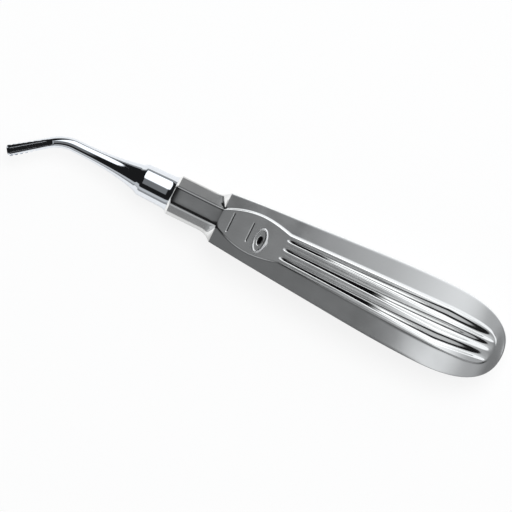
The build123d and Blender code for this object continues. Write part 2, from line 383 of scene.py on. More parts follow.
def maths(operation, *values, clamp=False):
    """Value of one maths node on values and plain numbers."""
    inputs = enumerate(values)
    node = add(tree_of(values), "ShaderNodeMath", inputs, operation=operation, use_clamp=clamp)
    return Value(node.outputs[0])


def mapped(value, low, high, to_low=0.0, to_high=1.0, kind="SMOOTHSTEP"):
    """A value carried from one range to another, held at its ends."""
    inputs = enumerate((value, low, high, to_low, to_high))
    node = add(tree_of([value]), "ShaderNodeMapRange", inputs, interpolation_type=kind)
    return Value(node.outputs[0])


def blend(first, last, part):
    """Value at a part of the way from the first to the last."""
    return maths("MULTIPLY_ADD", last - first, part, first)


def coordinates(tree, vector):
    """The three numbers of a vector's socket."""
    return [Value(out) for out in add(tree, "ShaderNodeSeparateXYZ", {0: vector}).outputs]


def new_tree(name, inputs):
    """A geometry tree with a mesh in, named inputs and a mesh out, and its inputs as values."""
    tree = bpy.data.node_groups.new(name, "GeometryNodeTree")
    tree.interface.new_socket("Geometry", in_out="OUTPUT", socket_type="NodeSocketGeometry")
    for label, kind in (("Geometry", "Geometry"), *inputs, ("Material", "Material")):
        tree.interface.new_socket(label, in_out="INPUT", socket_type="NodeSocket" + kind)
    source = add(tree, "NodeGroupInput").outputs
    return tree, {socket.name: Value(socket) for socket in source}


def close_tree(tree, geometry, material):
    """Ends a tree in Realize Instances and Set Material."""
    realize = add(tree, "GeometryNodeRealizeInstances", {"Geometry": geometry})
    inputs = {"Geometry": realize.outputs["Geometry"], "Material": material}
    finish = add(tree, "GeometryNodeSetMaterial", inputs)
    add(tree, "NodeGroupOutput", {"Geometry": finish.outputs["Geometry"]})


def apply_tree(piece, tree, values):
    """Runs a tree on a piece with named values, and keeps the result as a plain mesh."""
    modifier = piece.modifiers.new(tree.name, "NODES")
    modifier.node_group = tree
    for item in tree.interface.items_tree:
        if item.in_out == "INPUT" and item.name in values:
            modifier[item.identifier] = values[item.name]
    piece.update_tag()
    depsgraph = bpy.context.evaluated_depsgraph_get()
    result = bpy.data.meshes.new_from_object(piece.evaluated_get(depsgraph))
    piece.modifiers.remove(modifier)
    piece.data = result


# The handle


def outline_half(sizes, station):
    """Half the width of the body at a station ahead of its rounded end."""
    start = (sizes.body_start, sizes.shoulder_width / 2)
    finish = (HANDLE_LENGTH - sizes.butt_length, BODY_WIDTH / 2)
    middle = ((start[0] + finish[0]) / 2, (start[1] + finish[1]) / 2 + sizes.swell)
    slope = tan(sizes.start_slope)
    half_run = middle[0] - start[0]
    middle_slope = (3 * (finish[1] - start[1]) / half_run - slope) / 4
    if station < middle[0]:
        return hermite(start, middle, slope, middle_slope, station)
    return hermite(middle, finish, middle_slope, 0.0, station)


def butt_poles(sizes):
    """Poles of the outline's rounded end."""
    widest_at = HANDLE_LENGTH - sizes.butt_length
    half = BODY_WIDTH / 2
    return (
        (widest_at, half),
        (widest_at + sizes.butt_fullness * sizes.butt_length, half),
        (HANDLE_LENGTH, sizes.butt_fullness * half),
        (HANDLE_LENGTH, 0.0),
    )


def panel_half(sizes, panel, station):
    """Half the width of the raised panel at a station ahead of its rounded end."""
    start = (sizes.body_start, panel.front_width / 2)
    bulge = (sizes.body_start + panel.bulge_from_shoulder, panel.bulge_width / 2)
    waist = (sizes.body_start + panel.waist_from_shoulder, panel.waist_width / 2)
    rear = (HANDLE_LENGTH - panel.rear_from_butt, panel.rear_width / 2)
    if station < bulge[0]:
        return hermite(start, bulge, tan(panel.front_slope), 0.0, station)
    if station < waist[0]:
        return hermite(bulge, waist, 0.0, -tan(panel.waist_slope), station)
    part = (station - waist[0]) / (rear[0] - waist[0])
    return between(waist[1], rear[1], part)


def panel_end_poles(panel):
    """Poles of the panel's rounded end."""
    rear_at = HANDLE_LENGTH - panel.rear_from_butt
    end_at = HANDLE_LENGTH - panel.end_from_butt
    half = panel.rear_width / 2
    return (
        (rear_at, half),
        (rear_at + panel.end_fullness * (end_at - rear_at), half),
        (end_at, panel.end_fullness * half),
        (end_at, 0.0),
    )


def crown_rule(sizes):
    """Function that gives the crown's height over the middle plane at a station."""
    top = BODY_THICKNESS / 2
    shoulder = sizes.shoulder_thickness / 2
    butt = sizes.butt_edge / 2
    start = sizes.body_start
    thickest_at = HANDLE_LENGTH - sizes.thickest_from_butt
    poles = (
        (thickest_at, top),
        (thickest_at + sizes.crown_reach, top),
        (HANDLE_LENGTH - sizes.butt_drop_length, butt + sizes.butt_drop_height),
        (HANDLE_LENGTH, butt),
    )

    @lru_cache(maxsize=None)
    def crown(station):
        if station <= thickest_at:
            part = (thickest_at - station) / (thickest_at - start)
            return top - (top - shoulder) * part**2
        return bezier(poles, bezier_part(poles, 0, station))[1]

    return crown


# How dark the painted shade in the lines of the marks is, and how wide the oval's ring and rim
RING_DARK = 0.6
RING_WIDTH = 1.2
HALO_WIDTH = 1.3
LINE_DARK = 0.55


def oval_mark(sizes, panel, station, across):
    """Height of the oval mark at a place, how dark the painted shade in its recess is, and how matt
    its rim.
    """
    ahead = station - sizes.body_start - panel.oval_from_shoulder
    aside = across - panel.oval_off_axis

    def beyond(width, long):
        """Rough distance outside an oval of this size, negative inside it."""
        ratio = hypot(ahead / (width / 2), aside / (long / 2))
        if ratio == 0:
            return -width / 2
        return hypot(ahead, aside) * (1 - 1 / ratio)

    wall = panel.oval_wall
    out = beyond(panel.oval_ring_width, panel.oval_ring_length)
    well = beyond(panel.oval_well_width, panel.oval_well_length)
    rim = smooth(out, -wall, wall) * (1 - smooth(out, wall, panel.oval_rim))
    inside = 1 - smooth(out, -wall, wall)
    deep = 1 - smooth(well, -2 * wall, wall)
    height = (
        panel.oval_rim_height * rim
        - panel.oval_step * inside
        - (panel.oval_well_depth - panel.oval_step) * deep
    )
    # Painted shade: a dark line at the foot of the oval step's wall, and the well darkened right
    # through
    ring = RING_DARK * max(0.0, 1 - abs(out + wall) / (RING_WIDTH * wall))
    matt = smooth(out, 0.0, wall) * (1 - smooth(out, 2 * wall, HALO_WIDTH * panel.oval_rim))
    return height, max(deep, ring), matt


def fine_line(sizes, panel, from_shoulder, station, across):
    """Height of a fine line across the panel, and how dark the painted shade in it is."""
    ahead = abs(station - sizes.body_start - from_shoulder)
    cut = 1 - smooth(ahead, 0.2 * panel.line_width, 0.7 * panel.line_width)
    cut *= 1 - smooth(abs(across), 0.46 * panel.line_length, 0.5 * panel.line_length)
    return -panel.line_depth * cut, LINE_DARK * cut


def panel_marks(sizes, panel, station, across):
    """Height of all the marks on the upper panel at a place, how dark their painted shade is, and
    how matt they are.
    """
    height, dark, matt = oval_mark(sizes, panel, station, across)
    for place in (panel.line_front, panel.line_rear):
        more, darker = fine_line(sizes, panel, place, station, across)
        height += more
        dark = max(dark, darker)
    return height, dark, matt


def neck_radius(sizes, turn):
    """Distance from the axis to the neck's round-edged octagon, at an angle off the top."""
    flat = sizes.neck_flats / 2
    radius = sizes.neck_edge if sin(turn) < 0 else sizes.neck_crisp
    off_flat = abs((turn + pi / 8) % (pi / 4) - pi / 8)
    if off_flat < atan2((flat - radius) * tan(pi / 8), flat):
        return flat / cos(off_flat)
    centre = (flat - radius) / cos(pi / 8)
    off_edge = pi / 8 - off_flat
    return centre * cos(off_edge) + sqrt(radius**2 - (centre * sin(off_edge)) ** 2)


class HandleMesh:
    """Collects the points and faces of the handle, ring by ring and rib by rib."""

    across_steps = 112
    slope_steps = 4
    flank_steps = 9
    edge_steps = 4
    side_steps = 3
    arc_steps = 26
    shoulder_steps = 22
    panel_steps = {"plain": 0.7 * MM, "line": 0.06 * MM, "oval": 0.09 * MM, "nose": 0.2 * MM}
    side_shift = 30 * MM
    relief_fade = 14 * MM
    border_highlight = 0.6
    shoulder_flares = (2.2, 4.0)
    shoulder_highlight = (0.3, 0.6)
    neck_parts = (0.75, 0.5, 0.25)
    edge_dark = 0.7
    edge_line = (0.05, 0.09)

    def __init__(self, sizes, panel):
        self.sizes = sizes
        self.panel = panel
        self.crown = crown_rule(sizes)
        self.points = []
        self.faces = []
        self.dark = []
        self.polish = []
        self.matt = []
        self.tone = []
        self.fade_from = HANDLE_LENGTH - panel.rear_from_butt
        self.fade_to = HANDLE_LENGTH - panel.end_from_butt - 6 * MM

    def add(self, station, across, height, dark=0.0, polish=0.0, tone=0.0, matt=0.0):
        """Adds a point and returns its number."""
        self.points.append((NECK_X + station, across, AXIS_Z + height))
        self.dark.append(dark)
        self.polish.append(polish)
        self.matt.append(matt)
        self.tone.append(tone * (1 - smooth(station, self.fade_from, self.fade_to)))
        return len(self.points) - 1

    def join(self, first, last):
        """Joins two rows of points with faces."""
        for k in range(len(first) - 1):
            self.faces.append((first[k], first[k + 1], last[k + 1], last[k]))

    def panel_plan(self):
        """Places of the panel's points in plan: rows along it, each from +Y to -Y."""
        sizes, panel = self.sizes, self.panel
        start = sizes.body_start
        oval = start + panel.oval_from_shoulder
        oval_reach = panel.oval_ring_width / 2 + panel.oval_rim
        rear = HANDLE_LENGTH - panel.rear_from_butt
        first, second = start + panel.line_front, start + panel.line_rear
        nose = start + panel.waist_from_shoulder
        step = self.panel_steps
        runs = (
            (first - panel.line_width, step["plain"]),
            (first + panel.line_width, step["line"]),
            (second - panel.line_width, step["plain"]),
            (second + panel.line_width, step["line"]),
            (oval - oval_reach, 0.3 * MM),
            (oval + oval_reach, step["oval"]),
            (nose - 1.5 * MM, 0.5 * MM),
            (nose + 3 * MM, step["nose"]),
            (rear, 0.62 * MM),
        )
        stations = spread(start, runs)
        end = panel_end_poles(panel)
        corner = bezier_part(end, 1, 0.8 * end[0][1])
        corner_point = bezier(end, corner)
        aside = [1 - 2 * j / self.across_steps for j in range(self.across_steps + 1)]
        ends = [bezier(end, bezier_part(end, 1, abs(v) * corner_point[1]))[0] for v in aside]
        rows = [[(s, v * panel_half(sizes, panel, s)) for v in aside] for s in stations]
        for k in range(1, self.arc_steps + 1):
            along, half = bezier(end, corner * k / self.arc_steps)
            part = (along - rear) / (corner_point[0] - rear)
            rows.append([(between(rear, x, part), v * half) for v, x in zip(aside, ends)])
        return stations, rows, corner

    def outline_plan(self, stations, corner):
        """Places of the outline beside each point of the panel's border, round the butt."""
        sizes = self.sizes
        poles = butt_poles(sizes)
        rear = stations[-1]
        shift_from = rear - self.side_shift
        side = []
        for s in stations:
            back = (rear - poles[0][0]) * smooth(s, shift_from, rear)
            side.append((s - back, outline_half(sizes, s - back)))
        side += [bezier(poles, corner * k / self.arc_steps) for k in range(1, self.arc_steps + 1)]
        half_arc = self.across_steps // 2
        arc = []
        for k in range(1, half_arc + 1):
            y = side[-1][1] * (1 - k / half_arc)
            arc.append(bezier(poles, bezier_part(poles, 1, y)))
        arc[-1] = (HANDLE_LENGTH, 0.0)
        mirrored = [(x, -y) for x, y in reversed(side + arc[:-1])]
        return side + arc + mirrored

    def relief(self, station):
        """Height of the panel over the flanks, which fades out at the butt."""
        rear = HANDLE_LENGTH - self.panel.rear_from_butt
        waist = self.sizes.body_start + self.panel.waist_from_shoulder
        lower = 1 - self.panel.relief_loss * smooth(station, waist - 3 * MM, waist + 5 * MM)
        return self.panel.relief * lower * (1 - smooth(station, rear, rear + self.relief_fade))

    def rib(self, border, outline, inward, up):
        """Row of points from the panel's border out to the middle of the side."""
        sizes, panel = self.sizes, self.panel
        radius = sizes.edge_radius
        fall = tan(sizes.flank_fall)

        def flank(x, y):
            aside = hypot(y, sizes.fall_round) - sizes.fall_round
            return self.crown(round(x, ROUND_TO)) - self.relief(x) - aside * fall

        edge = (
            outline[0] + inward[0] * (radius + sizes.side_bulge),
            outline[1] + inward[1] * (radius + sizes.side_bulge),
        )
        run = hypot(edge[0] - border[0], edge[1] - border[1])
        row = []
        step = min(0.4, panel.border / run)
        slope = self.slope_steps
        for k in range(1, slope + 1):
            part = step * k / slope
            x = between(border[0], edge[0], part)
            y = between(border[1], edge[1], part)
            height = between(self.crown(round(x, ROUND_TO)), flank(x, y), smooth(k / slope, 0, 1))
            upper = k <= slope / 2
            # Painted highlight: the inner half of the border's slope is brightened and made
            # smoother, fading out towards the butt
            shine = self.border_highlight * upper * (1 - smooth(x, self.fade_from, self.fade_to))
            row.append(self.add(x, y, up * height, polish=shine, tone=upper))
        for k in range(1, self.flank_steps + 1):
            part = between(step, 1, k / self.flank_steps)
            x = between(border[0], edge[0], part)
            y = between(border[1], edge[1], part)
            row.append(self.add(x, y, up * flank(x, y)))
        top = flank(*edge)
        for k in range(1, self.edge_steps + 1):
            turn = pi / 2 * k / self.edge_steps
            x = edge[0] - inward[0] * radius * sin(turn)
            y = edge[1] - inward[1] * radius * sin(turn)
            row.append(self.add(x, y, up * (top - radius * (1 - cos(turn))), polish=1.0))
        for k in range(1, self.side_steps + 1):
            part = k / self.side_steps
            bulge = sizes.side_bulge * (1 - (1 - part) ** 2)
            x = edge[0] - inward[0] * (radius + bulge)
            y = edge[1] - inward[1] * (radius + bulge)
            row.append(self.add(x, y, up * (top - radius) * (1 - part)))
        return row

    def body(self):
        """Makes the body, and returns the ring of points at its front."""
        stations, rows, corner = self.panel_plan()
        grids = []
        for up in (1, -1):
            grid = []
            for row in rows:
                line = []
                for x, y in row:
                    height, dark, matt = self.crown(round(x, ROUND_TO)), 0.0, 0.0
                    if up > 0:
                        more, dark, matt = panel_marks(self.sizes, self.panel, x, y)
                        height += more
                    line.append(self.add(x, y, up * height, dark=dark, tone=1.0, matt=matt))
                grid.append(line)
            for first, last in zip(grid, grid[1:]):
                self.join(first, last)
            grids.append(grid)
        border_plan = [row[0] for row in rows] + rows[-1][1:] + [row[-1] for row in rows[-2::-1]]
        outline = self.outline_plan(stations, corner)
        borders = [
            [row[0] for row in grid] + grid[-1][1:] + [row[-1] for row in grid[-2::-1]]
            for grid in grids
        ]
        ribs = []
        for k, (border, place) in enumerate(zip(border_plan, outline)):
            ahead = outline[min(k + 1, len(outline) - 1)]
            behind = outline[max(k - 1, 0)]
            run = Vector((ahead[0] - behind[0], ahead[1] - behind[1])).normalized()
            inward = (run.y, -run.x)
            upper = self.rib(border, place, inward, 1)
            lower = self.rib(border, place, inward, -1)
            middle = upper.pop()
            lower.pop()
            ribs.append([borders[0][k]] + upper + [middle] + lower[::-1] + [borders[1][k]])
        for first, last in zip(ribs, ribs[1:]):
            self.join(first, last)
        right = ribs[-1][1:-1]
        left = ribs[0][1:-1]
        return grids[0][0] + right + grids[1][0][::-1] + left[::-1]

    def turns(self):
        """Angle off the top of each point in a ring, going round from +Y over the top."""
        flank = self.slope_steps + self.flank_steps
        side = self.edge_steps + self.side_steps
        top = [pi / 8 * (1 - 2 * j / self.across_steps) for j in range(self.across_steps + 1)]
        rib = [pi / 8 + pi / 4 * (k + 1) / flank for k in range(flank)]
        rib += [3 * pi / 8 + pi / 8 * (k + 1) / side for k in range(side)]
        quarter = rib + [pi - t for t in rib[-2::-1]]
        right = [-t for t in quarter]
        bottom = [pi - t for t in top]
        return top + right + [-t for t in bottom] + quarter[::-1]

    def neck(self, ring):
        """Makes the shoulder, the neck and the blind bore ahead of the body's front ring."""
        sizes = self.sizes
        front = [self.points[k] for k in ring]
        turns = self.turns()
        last = ring
        plain = [0.0] * len(ring)
        bright = [1.0] * len(ring)

        # Painted shade: a dark line along the far edge of the neck's top flat
        off_edge = [abs(t - pi / 8) for t in turns]
        edge = [self.edge_dark * (1 - smooth(off, *self.edge_line)) for off in off_edge]

        def section(station, place, polish=plain):
            points = [
                self.add(station, *place(k), polish=polish[k], dark=edge[k])
                for k in range(len(ring))
            ]
            self.join(last + last[:1], points + points[:1])
            return points

        def neck_place(scale):
            def place(k):
                radius = neck_radius(sizes, turns[k]) * scale
                return radius * sin(turns[k]), radius * cos(turns[k])
            return place

        whole = neck_place(1.0)
        shoulder = sizes.body_start - sizes.neck_length
        for i in range(1, self.shoulder_steps + 1):
            rest = 1 - i / self.shoulder_steps

            def place(k):
                y, z = whole(k)
                facet = sin(2 * turns[k]) ** 2
                flare = rest ** between(*self.shoulder_flares, facet)
                return between(y, front[k][1], flare), between(z, front[k][2] - AXIS_Z, flare)

            # Painted highlight: the shoulder's diagonal facets are brightened and made smoother,
            # most near the body
            shine = smooth(rest, *self.shoulder_highlight)
            last = section(
                sizes.neck_length + shoulder * rest,
                place,
                [shine * sin(2 * t) ** 2 for t in turns],
            )
        cut = 1 - sizes.neck_chamfer / (sizes.neck_flats / 2)
        bevel = sizes.neck_chamfer_length
        for part in self.neck_parts:
            last = section(sizes.neck_length * part, whole)
        for station, scale, polish in (
            (bevel + 0.12 * MM, 1.0, plain),
            (bevel, between(1, cut, 0.03), bright),
            (0.08 * MM, between(1, cut, 0.9), bright),
            (0.0, cut * 0.992, bright),
        ):
            last = section(station, neck_place(scale), polish)

        def bore(k):
            return sizes.bore_radius * sin(turns[k]), sizes.bore_radius * cos(turns[k])

        last = section(0.0, bore)
        last = section(sizes.bore_depth, bore)
        self.faces.append(tuple(last))


FLUTE_INPUTS = (
    "Nose", "Front Pitch", "Rear Pitch", "End Pitch", "Front Width", "Rear Width",
    "Front Depth", "Rear Depth", "Rear Drift", "End Drift",
    "Lean", "Outer Lean", "Front Lean", "Pin Depth", "Pin Pitch",
)

# How a flute widens, how far the stripes reach, and where the painted shade in the narrow grooves
# ends
FLUTE_GROWTH = 2.2
END_WIDTH = 0.8
STRIPE_REACH = 0.45
SHADE_REACH = 0.68
SHADE_FIRST_LOSS = -0.36
SHADE_FADE = 0.12
SHADE_DEPTH = (0.25, 0.6)


def flute_tree():
    """Presses flutes into both panels: they widen and deepen towards the butt."""
    names = ("Count", "Axis Height", "Front", "Rear", "End") + FLUTE_INPUTS
    tree, given = new_tree("Pressed Flutes", [(name, "Float") for name in names])
    place = add(tree, "GeometryNodeInputPosition").outputs[0]
    x, y, z = coordinates(tree, place)
    to_rear = mapped(x, given["Front"], given["Rear"], kind="LINEAR")
    to_end = mapped(x, given["Rear"], given["End"], kind="LINEAR")
    nose = mapped(x, given["Front"], given["Front"] + given["Nose"])
    pitch = blend(given["Front Pitch"], given["Rear Pitch"], to_rear)
    pitch = blend(pitch, given["End Pitch"], to_end)
    drift = blend(given["Rear Drift"] * to_rear**4.0, given["End Drift"], to_end)
    off_middle = y - drift

    # Nearest flute, and how far across it a point lies, in half widths
    row = off_middle / pitch
    outermost = (given["Count"] - 1.0) * 0.5
    shift = maths("FRACT", outermost)
    nearest = maths("ROUND", row - shift) + shift
    nearest = maths("MAXIMUM", maths("MINIMUM", nearest, outermost), -outermost)
    width = blend(given["Front Width"], given["Rear Width"], to_rear**FLUTE_GROWTH)
    width = blend(width, given["Rear Width"] * END_WIDTH, to_end)
    part = (row - nearest) * pitch / (width * 0.5)
    part = maths("MAXIMUM", maths("MINIMUM", part, 1.0), -1.0)

    # Round bottom that lies to one side of the flute's middle
    lean = maths("MULTIPLY_ADD", abs(nearest), given["Outer Lean"], given["Lean"])
    lean = blend(given["Front Lean"], lean, to_rear)
    above = maths("GREATER_THAN", part, -lean)
    slope = blend((1.0 + part) / (1.0 - lean), (1.0 - part) / (1.0 + lean), above)
    bowl = (1.0 - maths("COSINE", slope * pi)) * 0.5
    depth = blend(given["Front Depth"], given["Rear Depth"], to_rear)
    press = bowl * depth * (nose * (1.0 - to_end**2.0))

    # Fine stripes on the ridges, which fade where the flutes fill the panel
    stripe = 1.0 - maths("COSINE", off_middle / given["Pin Pitch"] * (2 * pi))
    within = maths("LESS_THAN", abs(off_middle), (outermost + STRIPE_REACH) * pitch)
    stripe = stripe * given["Pin Depth"] * (within * nose) * (1.0 - to_rear**3.0)
    drop = -((press + stripe) * maths("SIGN", z - given["Axis Height"]))
    offset = add(tree, "ShaderNodeCombineXYZ", {"Z": drop}).outputs[0]
    inputs = {"Geometry": given["Geometry"], "Offset": offset}
    move = add(tree, "GeometryNodeSetPosition", inputs)

    # Where painted shade darkens the narrow part of the grooves
    first = maths("GREATER_THAN", nearest, 0.5)
    fade = maths("MULTIPLY_ADD", first, SHADE_FIRST_LOSS, SHADE_REACH)
    narrow = mapped(to_rear, fade - SHADE_FADE, fade, 1.0, 0.0)
    painted_shade = mapped(bowl, *SHADE_DEPTH) * (narrow * nose)
    inputs = {"Geometry": move.outputs[0], "Name": "flute_groove_shade", "Value": painted_shade}
    kind = "GeometryNodeStoreNamedAttribute"
    store = add(tree, kind, inputs, data_type="FLOAT", domain="POINT")
    close_tree(tree, store.outputs[0], given["Material"])
    return tree


# The working end


def shank_radius(sizes, station):
    """Radius of the turned part at a station, which is negative ahead of the neck."""
    collar = -sizes.collar_length
    cone = collar - sizes.cone_length
    shank_end = collar - sizes.shank_length
    if station < cone:
        return hermite(
            (shank_end, sizes.shank / 2),
            (cone, sizes.shank_root / 2),
            0.0,
            tan(sizes.shank_root_slope),
            station,
        )
    if station < collar:
        part = (station - cone) / sizes.cone_length
        return between(sizes.shank_root, sizes.collar_front, part) / 2
    flare = -sizes.flare_length
    if station < flare:
        part = (station - collar) / (flare - collar)
        return between(sizes.collar_front, sizes.collar_rear, part) / 2
    return hermite(
        (flare, sizes.collar_rear / 2), (0.0, sizes.flare / 2), 0.0, sizes.flare_slope, station
    )


def blade_frame(sizes):
    """Root of the blade in plan, the way it points, and the way across it."""
    bend = sizes.bend_angle
    shank_end = NECK_X - sizes.collar_length - sizes.shank_length
    root = Vector((
        shank_end - sizes.bend_radius * sin(bend),
        -sizes.bend_radius * (1 - cos(bend)),
        AXIS_Z,
    ))
    return root, Vector((-cos(bend), -sin(bend), 0)), Vector((-sin(bend), cos(bend), 0))


# Depth of the channel at places across it, as shares, and how much deeper it is at its ends
CHANNEL_KNOTS = ((-1.0, 2.6), (-0.64, 0.7), (-0.4, 0.2), (0.34, 0.97), (0.4, 1.0), (1.0, 0.0))
ROOT_DEEPER = 0.1
TIP_DEEPER = 0.6
TIP_REACH = 0.8 * MM


def channel_profile(side):
    """Depth of the channel and its lips, as a share, from the far side at 1 to the near at -1."""
    for (low, first), (high, last) in zip(CHANNEL_KNOTS, CHANNEL_KNOTS[1:]):
        if side <= high:
            return between(first, last, (side - low) / (high - low))
    return CHANNEL_KNOTS[-1][1]


def blade_ring(sizes, beyond, steps):
    """Section of the blade at a distance beyond its root, as (across, height) pairs."""
    part = beyond / sizes.blade_length
    bend_part = 1 + beyond / (sizes.bend_radius * sizes.bend_angle)
    if part < 0:
        half = between(sizes.shank, sizes.root_width, bend_part) / 2
        tall = between(sizes.shank, sizes.root_height, bend_part) / 2
        middle = 0.0
    else:
        half = between(sizes.root_width, sizes.blade_width, part) / 2
        tall = between(sizes.root_height, sizes.tip_height, part) / 2
        middle = sizes.lift * part
    from_tip = sizes.blade_length - beyond
    limit = half
    if from_tip < sizes.tip_corner:
        square = sizes.tip_corner - from_tip
        limit = half - sizes.tip_corner + sqrt(max(0.0, sizes.tip_corner**2 - square**2))
    root_rim = (sizes.root_height - sizes.rim_cut) / 2
    tip_rim = sizes.lift + sizes.tip_height / 2 - sizes.rim_cut
    rim = between(root_rim, tip_rim, max(0.0, part))
    if beyond < -sizes.channel_lead:
        rim = tall
    depth = sizes.channel_depth * smooth(beyond, -sizes.channel_lead, sizes.channel_lead)
    depth *= 1 + ROOT_DEEPER * (1 - max(0.0, part))
    depth *= 1 + TIP_DEEPER * (1 - smooth(from_tip, 0.0, TIP_REACH))
    top = []
    bottom = []
    for k in range(steps):
        turn = pi * (k + 0.5) / steps
        across = limit * cos(turn)
        bulge = tall * sqrt(1 - (across / half) ** 2)
        height = min(middle + bulge, rim - depth * channel_profile(across / half))
        top.append((across, height))
        bottom.append((across, middle - bulge))
    return top, bottom


RING_STEPS = 64
CORNER_STEPS = 14


def working_end_mesh(sizes):
    """Points and faces of the working end, from the tang's end to the blade's tip."""
    steps = RING_STEPS
    points = []
    faces = []
    rings = []
    shank_end = -sizes.collar_length - sizes.shank_length

    def ring(origin, across, top, bottom):
        first = len(points)
        for aside, height in top + bottom[::-1]:
            points.append(origin + across * aside + Vector((0, 0, height)))
        rings.append(list(range(first, len(points))))

    def round_ring(station, radius):
        turns = [pi * (k + 0.5) / steps for k in range(steps)]
        top = [(radius * cos(t), radius * sin(t)) for t in turns]
        bottom = [(radius * cos(t), -radius * sin(t)) for t in turns]
        ring(Vector((NECK_X + station, 0, AXIS_Z)), Vector((0, 1, 0)), top, bottom)

    tang = sizes.tang_length
    for station, radius in (
        (tang, sizes.tang_radius - sizes.tang_chamfer),
        (tang - sizes.tang_chamfer, sizes.tang_radius),
        (tang / 2, sizes.tang_radius),
        (0.0, sizes.tang_radius),
    ):
        round_ring(station, radius)
    cone = -sizes.collar_length - sizes.cone_length
    turned = (
        (-sizes.flare_length, 0.16 * MM),
        (-sizes.collar_length, 0.5 * MM),
        (cone, 0.2 * MM),
        (cone - 3 * MM, 0.3 * MM),
        (shank_end, 0.45 * MM),
    )
    for station in spread(0.0, turned):
        round_ring(station, shank_radius(sizes, station))
    bend_run = sizes.bend_radius * sizes.bend_angle
    channel_start = bend_run - sizes.channel_lead
    for gone in spread(0.0, ((channel_start, 0.2 * MM), (bend_run, 0.08 * MM)))[1:]:
        turn = gone / sizes.bend_radius
        origin = Vector((
            NECK_X + shank_end - sizes.bend_radius * sin(turn),
            -sizes.bend_radius * (1 - cos(turn)),
            AXIS_Z,
        ))
        ring(origin, Vector((-sin(turn), cos(turn), 0)), *blade_ring(sizes, gone - bend_run, steps))
    root, ahead, across = blade_frame(sizes)
    end = sizes.blade_length
    corner = end - sizes.tip_corner
    places = spread(0.0, ((corner, 0.075 * MM),))[1:]
    places += [
        corner + sizes.tip_corner * sin(pi / 2 * k / CORNER_STEPS)
        for k in range(1, CORNER_STEPS + 1)
    ]
    for beyond in places:
        ring(root + ahead * beyond, across, *blade_ring(sizes, beyond, steps))
    for first, last in zip(rings, rings[1:]):
        count = len(first)
        for k in range(count):
            after = (k + 1) % count
            faces.append((first[k], first[after], last[after], last[k]))
    tip = rings[-1]
    for k in range(steps - 1):
        faces.append((tip[k], tip[k + 1], tip[-2 - k], tip[-1 - k]))
    faces.append(tuple(rings[0]))
    return points, faces


def teeth_tree():
    """Bites a row of round notches into each edge of a straight blade."""
    vectors = ("Root", "Ahead", "Across")
    names = ("Length", "Root Width", "Tip Width", "Count", "Pitch", "Radius", "Depth", "From Tip")
    inputs = [(name, "Vector") for name in vectors] + [(name, "Float") for name in names]
    tree, given = new_tree("Blade Teeth", inputs)

    def dot(first, last):
        inputs = {0: first, 1: last}
        node = add(tree, "ShaderNodeVectorMath", inputs, operation="DOT_PRODUCT")
        return Value(node.outputs["Value"])

    inputs = {0: add(tree, "GeometryNodeInputPosition").outputs[0], 1: given["Root"]}
    from_root = add(tree, "ShaderNodeVectorMath", inputs, operation="SUBTRACT").outputs[0]
    along = dot(from_root, given["Ahead"])
    aside = dot(from_root, given["Across"])
    first = given["Length"] - given["From Tip"]
    place = maths("ROUND", (first - along) / given["Pitch"])
    place = maths("MAXIMUM", maths("MINIMUM", place, given["Count"] - 1.0), 0.0)
    off = along - (first - place * given["Pitch"])
    chord = maths("SQRT", maths("MAXIMUM", given["Radius"] ** 2.0 - off**2.0, 0.0))
    bite = maths("MAXIMUM", chord - (given["Radius"] - given["Depth"]), 0.0)
    part = maths("DIVIDE", along, given["Length"], clamp=True)
    half = blend(given["Root Width"], given["Tip Width"], part) * 0.5
    over = maths("MAXIMUM", abs(aside) - (half - bite), 0.0)
    over = over * maths("GREATER_THAN", bite, 0.0)
    inputs = {0: given["Across"], "Scale": -(over * maths("SIGN", aside))}
    offset = add(tree, "ShaderNodeVectorMath", operation="SCALE")
    inputs = {"Geometry": given["Geometry"], "Offset": fill(offset, inputs).outputs[0]}
    move = add(tree, "GeometryNodeSetPosition", inputs)
    close_tree(tree, move.outputs[0], given["Material"])
    return tree


# Materials


def shader_group(name, inputs, outputs):
    """An empty shader group with named sockets."""
    group = bpy.data.node_groups.new(name, "ShaderNodeTree")
    for label, kind in inputs:
        group.interface.new_socket(label, in_out="INPUT", socket_type="NodeSocket" + kind)
    for label, kind in outputs:
        group.interface.new_socket(label, in_out="OUTPUT", socket_type="NodeSocket" + kind)
    return group, group.nodes.new("NodeGroupInput"), group.nodes.new("NodeGroupOutput")


def noise(tree, vector, scale, detail, roughness=0.5):
    """Output of a noise texture on a vector."""
    inputs = {"Vector": vector, "Scale": scale, "Detail": detail, "Roughness": roughness}
    return add(tree, "ShaderNodeTexNoise", inputs).outputs["Fac"]


LINE_STRETCH = (0.03, 1.0, 1.0)
CLOUD_SCALE = 160.0
CLOUD_RANGE = (0.3, 0.7)


def grain_group():
    """Fine lines along the handle and faint clouds, as a group that both steels share."""
    if "Steel Grain" in bpy.data.node_groups:
        return bpy.data.node_groups["Steel Grain"]
    group, source, out = shader_group(
        "Steel Grain",
        (("Vector", "Vector"), ("Line Scale", "Float")),
        (("Lines", "Float"), ("Clouds", "Float")),
    )
    vector = source.outputs["Vector"]
    inputs = {0: vector, 1: LINE_STRETCH}
    stretched = add(group, "ShaderNodeVectorMath", inputs, operation="MULTIPLY").outputs[0]
    scaled = add(group, "ShaderNodeVectorMath", operation="SCALE")
    fill(scaled, {0: stretched, "Scale": source.outputs["Line Scale"]})
    give(out.inputs["Lines"], noise(group, scaled.outputs[0], 1.0, 3.0, 0.6))
    give(out.inputs["Clouds"], noise(group, vector, CLOUD_SCALE, 3.0))
    return group


def new_material(name):
    """A material with its tree and its main shader."""
    material = bpy.data.materials.new(name)
    material.use_nodes = True
    return material, material.node_tree, material.node_tree.nodes["Principled BSDF"]


